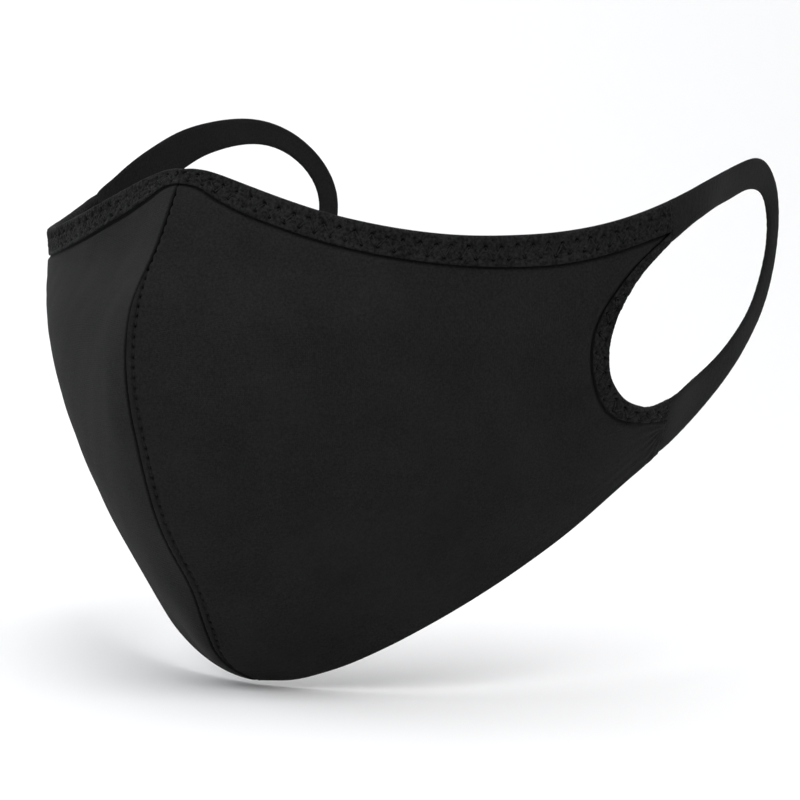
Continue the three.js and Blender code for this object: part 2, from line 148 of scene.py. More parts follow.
def table(columns, rows):
    """Columns of a table by name."""
    return dict(zip(columns, np.array(rows, float).T))


PANEL = table(PANEL_COLUMNS, PANEL_ROWS)
HOLE = table(HOLE_COLUMNS, HOLE_ROWS)
EAR_TAPE = table(EAR_TAPE_COLUMNS, EAR_TAPE_ROWS)
EAR_LIFT = table(EAR_LIFT_COLUMNS, EAR_LIFT_ROWS)
FOOT = table(FOOT_COLUMNS, FOOT_REACH)
SEAM_SHIFT = table(SEAM_FIT_COLUMNS, SEAM_FIT)


def column(rows, name, at):
    """Smooth curve through a table's column."""
    x, y = rows["at"], rows[name]
    span = np.diff(x)
    rise = np.diff(y) / span
    slope = np.empty(len(x))
    slope[1:-1] = (rise[:-1] * span[1:] + rise[1:] * span[:-1]) / (span[1:] + span[:-1])
    slope[0] = 1.5 * rise[0] - 0.5 * slope[1]
    slope[-1] = 1.5 * rise[-1] - 0.5 * slope[-2]
    at = np.clip(np.asarray(at, float), x[0], x[-1])
    i = np.clip(np.searchsorted(x, at, side="right") - 1, 0, len(x) - 2)
    t = (at - x[i]) / span[i]
    t2 = t * t
    t3 = t2 * t
    return ((2 * t3 - 3 * t2 + 1) * y[i] + (t3 - 2 * t2 + t) * span[i] * slope[i]
            + (3 * t2 - 2 * t3) * y[i + 1] + (t3 - t2) * span[i] * slope[i + 1])


def smooth(x, low, high):
    """0 below the low value and 1 above the high one, with an even rise between."""
    t = np.clip((x - low) / (high - low), 0, 1)
    return t * t * (3 - 2 * t)


def unit(v):
    return v / np.linalg.norm(v, axis=-1, keepdims=True)


def dot(a, b):
    return np.sum(a * b, axis=-1)


def stack(x, y, z):
    return np.stack(np.broadcast_arrays(x, y, z), axis=-1)


def face_point(across, down):
    """Outer face of the left panel in millimetres."""
    value = {name: column(PANEL, name, down) for name in PANEL_COLUMNS[1:]}
    leave, arrive = np.radians(value["leave_angle"]), np.radians(value["arrive_angle"])
    leave_reach = value["leave_reach"] * HALF_WIDTH
    arrive_reach = value["arrive_reach"] * PANEL_DEPTH
    seam = stack(0.0, -value["seam_front"] * NOSE_REACH, -value["seam_drop"] * MASK_HEIGHT)
    rear = stack(value["rear_out"] * HALF_WIDTH, value["rear_back"] * PANEL_DEPTH,
                 -value["rear_drop"] * MASK_HEIGHT)
    first = seam + stack(np.cos(leave) * leave_reach, np.sin(leave) * leave_reach,
                         value["leave_rise"] * MASK_HEIGHT)
    second = rear - stack(np.cos(arrive) * arrive_reach, np.sin(arrive) * arrive_reach,
                          value["arrive_rise"] * MASK_HEIGHT)
    t = np.asarray(across, float)[..., None]
    s = 1 - t
    return seam * s ** 3 + first * 3 * s * s * t + second * 3 * s * t * t + rear * t ** 3


def face_slopes(across, down):
    """Steps of the face across and down the panel."""
    a0, a1 = np.maximum(across - STEP, 0), np.minimum(across + STEP, 1)
    d0, d1 = np.maximum(down - STEP, 0), np.minimum(down + STEP, 1)
    along = (face_point(a1, down) - face_point(a0, down)) / (a1 - a0)[..., None]
    below = (face_point(across, d1) - face_point(across, d0)) / (d1 - d0)[..., None]
    return along, below


def face_normal(across, down):
    """Direction out of the face; on the seam it is mitred, so both panels meet."""
    along, below = face_slopes(across, down)
    normal = -unit(np.cross(along, below))
    on_seam = np.asarray(across) <= 0
    mitre = normal * np.array([0.0, 1.0, 1.0])
    mitre = mitre / dot(mitre, mitre)[..., None]
    return np.where(on_seam[..., None], mitre, normal)


def layer(across, down, height):
    """Points at a height above the face."""
    return face_point(across, down) + face_normal(across, down) * np.asarray(height, float)[..., None]


def walk(across, down, direction, distance, steps=3):
    """Place on the face a distance away in a direction along the face."""
    for _ in range(steps):
        along, below = face_slopes(across, down)
        aa, ad, dd = dot(along, along), dot(along, below), dot(below, below)
        ra, rd = dot(along, direction), dot(below, direction)
        scale = distance / steps / (aa * dd - ad * ad)
        across, down = across + (ra * dd - rd * ad) * scale, down + (rd * aa - ra * ad) * scale
    return across, down


def below_top(across, distance):
    """Places on the face at a distance below the top edge."""
    across, distance = np.broadcast_arrays(np.asarray(across, float), np.asarray(distance, float))
    down = np.zeros(across.shape)
    along, below = face_slopes(across, down)
    along, below = unit(along), unit(below)
    square = unit(below - along * dot(along, below)[..., None])
    return walk(across, down, below / dot(below, square)[..., None], distance)


def eased(line, along, reach):
    """A line of values without its wobbles shorter than the reach, with its ends and bends kept."""
    place = np.concatenate([-along[:0:-1], along, 2 * along[-1] - along[-2::-1]])
    weight = np.exp(-((along[:, None] - place[None]) / reach) ** 2 / 2) * np.gradient(place)[None]
    weight /= weight.sum(1, keepdims=True)

    def blurred(values):
        before, after = 2 * values[0] - values[:0:-1], 2 * values[-1] - values[-2::-1]
        return weight @ np.concatenate([before, values, after])

    once = blurred(line)
    return once + blurred(line - once)


# The hole's edge, with the bends of its table eased
HOLE_EASE = 0.06
HOLE_STEPS = np.linspace(0, 1, 301)
HOLE_LINE = eased(column(HOLE, "across", HOLE_STEPS)[:, None], HOLE_STEPS, HOLE_EASE)[:, 0]


def hole_edge(share):
    """Place on the face of the hole's edge, from its top to its foot."""
    across = np.interp(share, HOLE_STEPS, HOLE_LINE)
    return np.minimum(across, 1), EAR_HOLE_TOP + (EAR_HOLE_BOTTOM - EAR_HOLE_TOP) * share


def hole_tangent(share):
    """Step along the hole's edge."""
    before, after = np.maximum(share - STEP, 0), np.minimum(share + STEP, 1)
    return face_point(*hole_edge(after)) - face_point(*hole_edge(before))


def beside_hole(share, distance):
    """Places on the face at a distance from the hole's edge, slanting to the joints near its ends."""
    share, distance = np.broadcast_arrays(np.asarray(share, float), np.asarray(distance, float))
    start = hole_edge(share)
    square = unit(np.cross(unit(hole_tangent(share)), face_normal(*start)))
    near_end = np.maximum(np.maximum(1 - share / HOLE_END, 1 - (1 - share) / HOLE_END), 0)[..., None]
    joint = unit(face_slopes(*start)[1]) * np.where(share < 0.5, -1, 1)[..., None]
    direction = square * (1 - near_end) + joint * near_end
    return walk(*start, direction / dot(direction, square)[..., None], distance)


def ear_tape_width(share):
    return column(EAR_TAPE, "width", share) * EAR_TAPE_WIDTH


def lengths(points):
    """Length along a row of points from its first."""
    steps = np.linalg.norm(np.diff(points, axis=0), axis=1)
    return np.concatenate([[0], np.cumsum(steps)])


def noise(x, y, size, seed, count=8):
    """Smooth unevenness about one high, from waves of about the given size in many directions."""
    random = np.random.default_rng(seed)
    total = 0
    for slant, stretch, phase in zip(random.uniform(0, math.pi, count), random.uniform(0.7, 1.6, count),
                                     random.uniform(0, 2 * math.pi, count)):
        along = x * math.cos(slant) + y * math.sin(slant)
        total = total + np.sin(along * 2 * math.pi / (size * stretch) + phase)
    return total / math.sqrt(count / 2)


def line_across(down, count=200):
    """Points of the face at one height, from the seam to the rear edge."""
    return face_point(np.linspace(0, 1, count), np.full(count, down))


def seam_line(count):
    """Points of the front seam from its top to the chin."""
    return face_point(np.zeros(count), np.linspace(0, 1, count))


# Mesh helpers
def grid_faces(rows, cols, wrap_cols=False):
    """Quads between neighbouring rows and columns of points."""
    i = np.arange(rows - 1)[:, None]
    j = np.arange(cols if wrap_cols else cols - 1)[None]
    k = (j + 1) % cols
    corners = (i * cols + j, (i + 1) * cols + j, (i + 1) * cols + k, i * cols + k)
    return np.stack(np.broadcast_arrays(*corners), -1).reshape(-1, 4)


def ring_caps(rows, cols):
    """End faces of a lofted ring: quads between facing points of the ring."""
    caps = []
    for row, flip in ((0, False), (rows - 1, True)):
        base = row * cols
        for j in range(cols // 2 - 1):
            quad = [base + j, base + j + 1, base + (cols - 2 - j) % cols, base + (cols - 1 - j) % cols]
            caps.append(quad[::-1] if flip else quad)
    return np.array(caps)


def signed_volume(points, quads):
    """Volume times a constant, below zero where the faces point inward."""
    a, b, c, d = (points[quads[:, k]] for k in range(4))
    return dot(a, np.cross(b, c)).sum() + dot(a, np.cross(c, d)).sum()


def piece(name, points, faces, material, uv=None, node_name=None, painted_shade=None, flat=0):
    """Closed mesh from points in millimetres, faces turned outward, riding on the part.

    The painted shade gives how far each point's colour is darkened to stand in for shade in folds, needle
    holes and the seam.
    Of the last faces, as many as flat says are shaded flat.
    """
    quads = np.array([face for face in faces if len(face) == 4])
    if signed_volume(points, quads) < 0:
        faces = [face[::-1] for face in faces]
    mesh = bpy.data.meshes.new(name)
    mesh.from_pydata((points * MM).tolist(), [], [list(face) for face in faces])
    mesh.polygons.foreach_set("use_smooth", np.arange(len(faces)) < len(faces) - flat)
    # Painted shade: a per-point amount that the knit shader uses to darken the colour
    if painted_shade is not None:
        depth = mesh.attributes.new("painted_shade", "FLOAT", "POINT")
        depth.data.foreach_set("value", painted_shade.astype(np.float32).ravel())
    if uv is not None:
        corners = np.empty(len(mesh.loops), np.int32)
        mesh.loops.foreach_get("vertex_index", corners)
        mesh.uv_layers.new(name="weave").data.foreach_set("uv", uv[corners].astype(np.float32).ravel())
    mesh.materials.append(material)
    mesh.update()
    obj = bpy.data.objects.new(name, mesh)
    bpy.context.collection.objects.link(obj)
    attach(obj, "root")
    if node_name:
        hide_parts(node_name)
    return obj


def mirrored(points, side):
    """Points for the left side, 1, or for the right one, -1."""
    return points * np.array([side, 1.0, 1.0])


# Materials
WAVE_SCALE = 0.314
COURSE_LENGTH = 1.35
# Near-black colour of the painted shade in folds, along tape edges, in needle holes and in the seam
PAINTED_SHADE_COLOUR = (0.0012, 0.0012, 0.0012, 1)
KNIT_SURFACE = {"Roughness": 0.9, "Specular IOR Level": 0.06, "Sheen Weight": 0.015,
                "Sheen Roughness": 0.42}
THREAD_SURFACE = {"Roughness": 0.62, "Specular IOR Level": 0.12}
PAPER_SURFACE = {"Base Color": (0.93, 0.93, 0.935, 1), "Roughness": 0.9, "Specular IOR Level": 0.1}


def settle(made, inputs):
    """Set a node's inputs that have one value."""
    for key, value in inputs.items():
        made.inputs[key].default_value = value
    return made


def node(tree, kind, inputs=None, **values):
    made = tree.nodes.new(kind)
    for key, value in values.items():
        setattr(made, key, value)
    return settle(made, inputs or {})


def surface(name, inputs):
    """New material with its node tree and its shader."""
    material = bpy.data.materials.new(name)
    material.use_nodes = True
    shader = settle(material.node_tree.nodes["Principled BSDF"], inputs)
    return material, material.node_tree, shader


def fabric(name, dark, light, rib_period, rib_depth, fuzz_depth, fuzz_scale=1700, spread=0.16):
    """Knit cloth: fine ribs along the cloth, a short fuzz, a slow mottling, and painted shade mixed in from
    a per-point attribute.
    """
    material, tree, shader = surface(name, KNIT_SURFACE)
    link = tree.links.new
    weave = node(tree, "ShaderNodeUVMap", uv_map="weave")
    place = node(tree, "ShaderNodeTexCoord")
    fuzz = node(tree, "ShaderNodeTexNoise", {"Scale": fuzz_scale, "Detail": 3, "Roughness": 0.62})
    link(place.outputs["Object"], fuzz.inputs["Vector"])
    mottle = node(tree, "ShaderNodeTexNoise", {"Scale": 60, "Detail": 4})
    link(place.outputs["Object"], mottle.inputs["Vector"])
    rib_scale = WAVE_SCALE / (rib_period * MM)
    bent = {"Scale": rib_scale, "Distortion": 1.2, "Detail": 1, "Detail Scale": 2}
    ribs = node(tree, "ShaderNodeTexWave", bent, bands_direction="X")
    link(weave.outputs["UV"], ribs.inputs["Vector"])
    courses = node(tree, "ShaderNodeTexWave", {"Scale": rib_scale / COURSE_LENGTH, "Distortion": 1.6},
                   bands_direction="Y")
    link(weave.outputs["UV"], courses.inputs["Vector"])
    knit = node(tree, "ShaderNodeMath", operation="MULTIPLY")
    link(ribs.outputs["Fac"], knit.inputs[0])
    link(courses.outputs["Fac"], knit.inputs[1])
    tone = node(tree, "ShaderNodeMix", {"Factor": 0.75}, data_type="FLOAT")
    link(mottle.outputs["Fac"], tone.inputs["A"])
    link(fuzz.outputs["Fac"], tone.inputs["B"])
    ramp = node(tree, "ShaderNodeValToRGB")
    for stop, way, grey in zip(ramp.color_ramp.elements, (-1, 1), (dark, light)):
        stop.position = 0.5 + way * spread
        stop.color = (grey, grey, grey, 1)
    link(tone.outputs["Result"], ramp.inputs["Fac"])
    # Painted shade: the per-point attribute mixes the knit's colour towards the near-black shade colour
    painted_shade = node(tree, "ShaderNodeAttribute", attribute_name="painted_shade")
    shaded = node(tree, "ShaderNodeMix", data_type="RGBA")
    link(painted_shade.outputs["Fac"], shaded.inputs["Factor"])
    link(ramp.outputs["Color"], shaded.inputs["A"])
    shaded.inputs["B"].default_value = PAINTED_SHADE_COLOUR
    link(shaded.outputs["Result"], shader.inputs["Base Color"])
    knit_bump = node(tree, "ShaderNodeBump", {"Distance": rib_depth * MM, "Strength": 0.6})
    link(knit.outputs["Value"], knit_bump.inputs["Height"])
    fuzz_bump = node(tree, "ShaderNodeBump", {"Distance": fuzz_depth * MM, "Strength": 0.7})
    link(fuzz.outputs["Fac"], fuzz_bump.inputs["Height"])
    link(knit_bump.outputs["Normal"], fuzz_bump.inputs["Normal"])
    link(fuzz_bump.outputs["Normal"], shader.inputs["Normal"])
    return material


def thread_material():
    """Black sewing thread with its twist."""
    material, tree, shader = surface("thread", THREAD_SURFACE)
    link = tree.links.new
    place = node(tree, "ShaderNodeTexCoord")
    twist = node(tree, "ShaderNodeTexNoise", {"Scale": 5200, "Detail": 2})
    link(place.outputs["Object"], twist.inputs["Vector"])
    ramp = node(tree, "ShaderNodeValToRGB")
    ramp.color_ramp.elements[0].color = (0.007, 0.007, 0.0075, 1)
    ramp.color_ramp.elements[1].color = (0.017, 0.017, 0.018, 1)
    link(twist.outputs["Fac"], ramp.inputs["Fac"])
    link(ramp.outputs["Color"], shader.inputs["Base Color"])
    bump = node(tree, "ShaderNodeBump", {"Distance": 0.04 * MM, "Strength": 0.8})
    link(twist.outputs["Fac"], bump.inputs["Height"])
    link(bump.outputs["Normal"], shader.inputs["Normal"])
    return material


CLOTH_LOOK = fabric("cloth_knit", 0.0070, 0.0155, 0.45, 0.06, 0.10)
TAPE_LOOK = fabric("tape_knit", 0.0038, 0.0165, 0.8, 0.14, 0.26, 1150, 0.11)
STRAP_LOOK = fabric("strap_knit", 0.0070, 0.0150, 0.55, 0.06, 0.09)
THREAD_LOOK = thread_material()

# Stitches, tapes and seam edges
ZIGZAG_PERIOD = 4.0
ZIGZAG_NEAR = 2.7
ZIGZAG_FAR = 5.7
NEEDLE_JITTER = 0.13
NEEDLE_RADIUS = 0.5
NEEDLE_DEPTH = 0.95
THREAD_RADIUS = 0.15
TOPSTITCH_INSET = 1.9
TOPSTITCH_MERGED = 0.25
TOPSTITCH_PERIOD = 2.6
TOPSTITCH_START = 7.0
SEAM_DEPTH = 0.95
SEAM_ROUND = 0.62
SEAM_GAP = 0.002
FAR_SEAM_DEPTH = 1.15
FAR_SEAM_ROUND = 1.0
TAPE_PRESS = 0.32
TAPE_HEIGHT = 0.56
TAPE_END_HEIGHT = 0.22
TAPE_HOLLOW = 0.12
LEG_DEPTH = 0.13
LEG_WIDTH = 0.24
LEG_SINK = 0.34
LEG_BOW = 0.38
NEEDLE_REACH = 3.2
PINCH_DEPTH = 0.10
STITCH_DEPTH_MOST = 0.76
NARROWEST_SEWN = 3.3
FOLD_RADIUS = 0.9
FOLD_TURN = (15, 30, 45, 60, 75, 90)
TAPE_COLUMNS = 27
FACE_INSET = 0.55
RIM_INSET = (1.2, 0.35, 0.05, 0.0, 0.06, 0.25)
RIM_HEIGHT = (-TAPE_PRESS + 0.02, -TAPE_PRESS + 0.12, 0.04, 0.32, 0.6, 0.93)
CORE_SHARES = (0.7, 0.45, 0.25)
RIB_HEIGHT = 0.11
RIB_PERIOD = 1.33
STITCH_GAP = 0.35
TOPSTITCH_SINK = 0.62
TOPSTITCH_BOW = 0.26
MERGED_SINK = 0.35
CUT_ROUND = 0.55

# The top tape by distance from the nose: its width and how far it stands above the cloth's edge line
TOP_TAPE_COLUMNS = ("at", "width", "lift")
TOP_TAPE_ROWS = (
    (0, 4.2, 0.1), (3.5, 4.5, 1.1), (7, 5.0, 1.6), (10.5, 6.0, 1.65), (14, 6.5, 1.5), (20, 7.0, 1.14),
    (30, 7.05, 0.5), (40, 7.05, 0.0), (52, 7.1, -0.15), (70, 7.25, -0.05), (90, 7.8, 0.3), (100, 7.95, 0.2),
    (112, 7.65, 0.05), (125, 7.3, -0.08), (138, 7.5, -0.2),
)
TOP_TAPE = table(TOP_TAPE_COLUMNS, TOP_TAPE_ROWS)

# On the right half the tape lies a little lower and closer to the cloth where it turns round the cheek
RIGHT_TAPE_COLUMNS = ("at", "lift", "sink")
RIGHT_TAPE_ROWS = (
    (0, 0, 0), (50, 0, 0), (62, 0, 0.3), (75, 0, 0.6), (88, 0, 0.6), (98, -0.1, 0.3), (106, -0.3, 0.1),
    (117, -0.3, 0), (124, -0.2, 0), (129, 0, 0), (138, 0.35, 0),
)
RIGHT_TAPE = table(RIGHT_TAPE_COLUMNS, RIGHT_TAPE_ROWS)

# Points and lengths along the top edge, the bottom edge and the hole's edge
edge_shares = np.linspace(0, 1, 400)
edge_line = line_across(0.0, len(edge_shares))
foot_line = line_across(1.0, len(edge_shares))
edge_lengths = lengths(edge_line)
foot_lengths = lengths(foot_line)
hole_shares = np.linspace(0, 1, 300)
hole_line = face_point(*hole_edge(hole_shares))
hole_lengths = lengths(hole_line)


def least_distance(points, line):
    """Least distance of each point to a line of points, and the length along the line there."""
    flat = points.reshape(-1, 3)
    best = np.full(len(flat), 1e9)
    where = np.zeros(len(flat))
    along = lengths(line)
    for k, spot in enumerate(line):
        d = np.linalg.norm(flat - spot, axis=1)
        nearer = d < best
        best[nearer] = d[nearer]
        where[nearer] = along[k]
    return best.reshape(points.shape[:-1]), where.reshape(points.shape[:-1])


# Panels
GRID_INSET = 1.0
GRID_END = 0.9992
SEAM_COLUMNS = (0, 0.08, 0.25, 0.5, 0.8, 1.1, 1.4, 1.65, 1.9, 2.15, 2.5, 3.0, 3.7, 4.6)
FIRST_MIDDLE = 5.6
MIDDLE_COLUMNS = 92
REAR_COLUMNS = 30
ROWS_ABOVE_HOLE = 48
ROWS_BESIDE_HOLE = 186
ROWS_BELOW_HOLE = 50
ROW_CROWDING = 0.4
LAST_BELOW = 2.8
FOOT_ROWS = (2.0, 1.3, 0.8, 0.5, 0.25, 0.08, 0)
ROW_LENGTH = 150.0
REAR_BAND = 9.0
SEAM_LENGTH = 120.0
FOOT_EASE = 16.0

# Relief of the cloth: long swells, ripples, puckers, the seam's ridge and groove, gathers and pleats
SWELL_HEIGHT = 0.13
SWELL_SIZE = 38
RIPPLE_HEIGHT = 0.035
RIPPLE_SIZE = 13
PUCKER_HEIGHT = 0.05
TOP_CREASE = 0.25
HOLE_CREASE = 0.40
SEAM_RIDGE = 0.20
GROOVE_DEPTH = 0.45
NEEDLE_HOLE_DEPTH = 0.85
GATHER_HEIGHT = 0.16
GATHER_REACH = 9.0
GATHERS = 17
PLEAT_HEIGHT = 0.07
PLEAT_PERIOD = 3.1


def panel_grid():
    """Places of a panel's grid, with fine rows and columns at the seam, the tape and the bottom edge."""
    middle = np.linspace(FIRST_MIDDLE, ROW_LENGTH - REAR_BAND, MIDDLE_COLUMNS)[:-1]
    rear = np.linspace(ROW_LENGTH - REAR_BAND, ROW_LENGTH, REAR_COLUMNS)
    columns = np.concatenate([SEAM_COLUMNS, middle, rear]) / ROW_LENGTH
    above = np.linspace(0, EAR_HOLE_TOP, ROWS_ABOVE_HOLE)[:-1]
    t = np.linspace(0, 1, ROWS_BESIDE_HOLE)[:-1]
    crowded = (1 + ROW_CROWDING) * t - ROW_CROWDING * t * t
    beside = EAR_HOLE_TOP + (EAR_HOLE_BOTTOM - EAR_HOLE_TOP) * crowded
    below = np.linspace(EAR_HOLE_BOTTOM, 1 - LAST_BELOW / SEAM_LENGTH, ROWS_BELOW_HOLE)
    foot = 1 - np.array(FOOT_ROWS) / SEAM_LENGTH
    rows = np.concatenate([above, beside, below, foot])
    top = np.stack(below_top(columns * GRID_END, np.full(len(columns), GRID_INSET)), -1)
    share = (rows - EAR_HOLE_TOP) / (EAR_HOLE_BOTTOM - EAR_HOLE_TOP)
    beside_rows = (share >= 0) & (share <= 1)
    high, low = share < 0, share > 1
    hole_top, hole_foot = (beside_hole(np.array(end), np.array(GRID_INSET))[1] for end in (0.0, 1.0))
    rear = np.full((len(rows), 2), GRID_END)
    lift = column(EAR_LIFT, "lift", np.interp(share[beside_rows], hole_shares, hole_lengths))
    rear[beside_rows] = np.stack(beside_hole(share[beside_rows], GRID_INSET - np.minimum(lift, 0)), -1)
    rear[high, 1] = top[-1, 1] + (hole_top - top[-1, 1]) * rows[high] / EAR_HOLE_TOP
    rear[low, 1] = hole_foot + (1 - hole_foot) * (rows[low] - EAR_HOLE_BOTTOM) / (1 - EAR_HOLE_BOTTOM)
    rear[:, 0] = np.minimum(rear[:, 0], GRID_END)
    s, t = columns[None, :, None], rows[:, None, None]
    seam = np.stack([np.zeros(len(rows)), top[0, 1] + (1 - top[0, 1]) * rows], -1)
    bottom = np.stack([columns * rear[-1, 0], np.ones(len(columns))], -1)
    blend = ((1 - t) * top[None] + t * bottom[None] + (1 - s) * seam[:, None] + s * rear[:, None]
             - (1 - s) * ((1 - t) * top[0] + t * bottom[0]) - s * ((1 - t) * top[-1] + t * bottom[-1]))
    blend[:, 0, 0] = 0
    return np.clip(blend[..., 0], 0, 1), np.clip(blend[..., 1], 0, 1)


def hump(x, middle, reach):
    """Bell curve, 1 at its middle."""
    return np.exp(-((x - middle) / reach) ** 2)


def rounded(distance, radius):
    """How far a face drops within a radius of a cut edge."""
    t = np.clip(distance / radius, 0, 1)
    return radius * (1 - np.sqrt(1 - (1 - t) ** 2))


def topstitch_apart(along):
    """How far the topstitch has left the seam: 0 where they run together, 1 where they are apart."""
    return smooth(along, 22, 42) * (1 - 0.75 * smooth(along, 134, 150))


def foot_extra(across, side):
    """How far the cut bottom edge reaches past the frame's edge line."""
    return column(FOOT, "left" if side > 0 else "right", np.interp(across, edge_shares, foot_lengths))


# Distances of the grid's places to the edges, used by both panels
across, down = panel_grid()
base = face_point(across, down)
from_seam, along_seam = least_distance(base, seam_line(500))
from_top, along_top = least_distance(base, edge_line)
from_hole, along_hole = least_distance(base, hole_line)
from_foot = least_distance(base, foot_line)[0]
from_seam[:, 0] = 0
from_foot[-1] = 0
row_place = lengths(line_across(0.5))[-1] * across
column_place = down * MASK_HEIGHT
corner = face_point(np.array(1.0), np.array(0.9))
from_corner = np.linalg.norm(base - corner, axis=-1)
corner_turn = np.arctan2(base[..., 2] - corner[2], base[..., 1] - corner[1])
corner_rise = (CORNER_RISE * np.clip((down - EAR_HOLE_BOTTOM) / (1 - EAR_HOLE_BOTTOM), 0, 1)
               * np.exp(-((1 - across) * ROW_LENGTH / CORNER_REACH) ** 2))
beyond_top = from_top - column(TOP_TAPE, "width", along_top) + column(TOP_TAPE, "lift", along_top)
beyond_hole = from_hole - ear_tape_width((down - EAR_HOLE_TOP) / (EAR_HOLE_BOTTOM - EAR_HOLE_TOP))


def seam_roll(side):
    """How far the outer face turns in towards the seam."""
    depth, reach = (SEAM_DEPTH, SEAM_ROUND) if side > 0 else (FAR_SEAM_DEPTH, FAR_SEAM_ROUND)
    return depth * rounded(from_seam, reach) / reach * (0.2 + 0.8 * smooth(from_foot, 0, 5))


def seam_shift(off_seam, place, side):
    """Shift of the cloth near the front seam."""
    felt = np.exp(-(off_seam / (NEAR_SEAM_REACH if side > 0 else FAR_SEAM_REACH)) ** 2)
    return stack(0.0, column(SEAM_SHIFT, "y", place) * felt, column(SEAM_SHIFT, "z", place) * felt)


def panel_relief(side):
    """Height of the outer face above the frame's face, how firmly the tapes hold the cloth there, and the
    painted shade in its grooves.
    """
    calm = smooth(from_seam, 0, 12) * smooth(from_foot, 0, 6)
    height = SWELL_HEIGHT * noise(row_place, column_place, SWELL_SIZE, 5 + side) * (0.35 + 0.65 * calm)
    height += RIPPLE_HEIGHT * noise(row_place, column_place, RIPPLE_SIZE, 15 + side) * calm

    # The right panel's middle stands a little further out
    if side < 0:
        middle = smooth(down, 0.13, 0.22) * (1 - smooth(down, 0.86, 0.96))
        height += FAR_SWELL * middle * (1 - 0.45 * smooth(down, 0.56, 0.66)) * calm

    # Cloth pressed under the tapes, with puckers from their stitches
    held = np.maximum(1 - smooth(beyond_top, 0.25, 1.5), 1 - smooth(beyond_hole, 0.25, 1.4))
    height = height * (1 - held) - TAPE_PRESS * held
    edges = ((beyond_top, along_top, 2.4, 9.0), (beyond_hole, along_hole, 2.0, 7.0))
    for beyond, along, fade, drift in edges:
        pucker = np.sin(along * 2 * math.pi / ZIGZAG_PERIOD + np.sin(along / drift))
        height += PUCKER_HEIGHT * pucker * np.exp(-np.maximum(beyond, 0) / fade) * smooth(beyond, 0.2, 1.4)

    # Crease along the tapes' edges, sunk in the cloth and darkened with painted shade
    height -= TOP_CREASE * hump(beyond_top, 0.15, 0.4) + HOLE_CREASE * hump(beyond_hole, 0.15, 0.45)
    painted_shade = 0.6 * (hump(beyond_top, 0.1, 0.35) + hump(beyond_hole, 0.1, 0.4))

    # Seam: both edges turn in; on the left panel the turned edge makes a ridge up to the topstitch
    below_tape = smooth(beyond_top, 0, 2.5)
    height -= seam_roll(side)
    # Painted shade in the seam's groove below the tape
    painted_shade += hump(from_seam, 0, 0.42 if side > 0 else 0.62) * below_tape
    # Painted shade on the right panel beside the seam, deepest near the chin, for the shadow of a fold
    # there
    if side < 0:
        painted_shade += 0.25 * hump(from_seam, 0, 3.5) * smooth(down, 0.82, 0.92)
        painted_shade += 0.7 * hump(from_seam, 0, 5.0) * smooth(down, 0.93, 0.985)
    if side > 0:
        apart = topstitch_apart(along_seam)
        inset = TOPSTITCH_MERGED + (TOPSTITCH_INSET - TOPSTITCH_MERGED) * apart
        wave = np.cos((along_seam - TOPSTITCH_START) * 2 * math.pi / TOPSTITCH_PERIOD)
        groove = hump(from_seam, inset, 0.30)
        height += SEAM_RIDGE * hump(from_seam, 1.0, 0.55) * below_tape * apart
        needle_hole = np.maximum(wave, 0) ** 2
        height -= groove * (GROOVE_DEPTH + NEEDLE_HOLE_DEPTH * needle_hole) * below_tape
        # Painted shade in the topstitch groove, darkest in the needle holes
        painted_shade += groove * (0.15 + 0.75 * needle_hole) * below_tape
        beside = np.exp(-np.maximum(from_seam - inset, 0) / 1.6) * smooth(from_seam - inset, 0.2, 0.9)
        height -= PUCKER_HEIGHT * beside * wave * below_tape

    # Gathers at the lower strap joint, and fine creases along the bottom edge near it
    gather = hump(from_corner, 0, GATHER_REACH) * smooth(from_corner, 0.5, 4)
    height += GATHER_HEIGHT * np.sin(corner_turn * GATHERS + 0.5) * gather * (1 - held)
    pleats = np.sin(from_foot * 2 * math.pi / PLEAT_PERIOD + 0.9 * np.sin(row_place / 6.0))
    near_foot = (1 - smooth(from_foot, 4, 13)) * smooth(from_foot, 0.4, 2)
    height += PLEAT_HEIGHT * pleats * smooth(across, 0.66, 0.9) * near_foot
    return height, held, np.clip(painted_shade, 0, 0.9)


def panel(name, node_name, side):
    """One panel: outer and inner faces of the cloth, closed at its edges."""
    height, held, painted_shade = panel_relief(side)
    cut = rounded(from_foot, CUT_ROUND)
    inner_height = np.minimum(height, 0.3) - CLOTH + 2 * TAPE_PRESS * held + seam_roll(side) + cut
    height = height - cut
    below = unit(face_slopes(across, down)[1])
    drop = (foot_extra(across, side) * (1 - smooth(from_foot, 0, FOOT_EASE)))[..., None] * below
    drop = drop + seam_shift(from_seam, down, side)
    outer = layer(across, down, height + corner_rise) + drop
    inner = layer(across, down, inner_height + corner_rise) + drop
    for face in (outer, inner):
        face[..., 0] = np.maximum(face[..., 0], SEAM_GAP)
        face[:, 0, 0] = SEAM_GAP
    rings = np.concatenate([outer, inner[:, ::-1]], axis=1)
    rows, cols = rings.shape[:2]
    faces = np.concatenate([grid_faces(rows, cols, True), ring_caps(rows, cols)])
    uv = np.stack([row_place, column_place], -1) * MM
    uv = np.concatenate([uv, uv[:, ::-1]], axis=1).reshape(-1, 2)
    # The painted shade is on the outer face only; the inner face gets none
    painted_shade = np.concatenate([painted_shade, 0 * painted_shade], axis=1)
    points = mirrored(rings.reshape(-1, 3), side)
    return piece(name, points, faces, CLOTH_LOOK, uv, node_name, painted_shade)


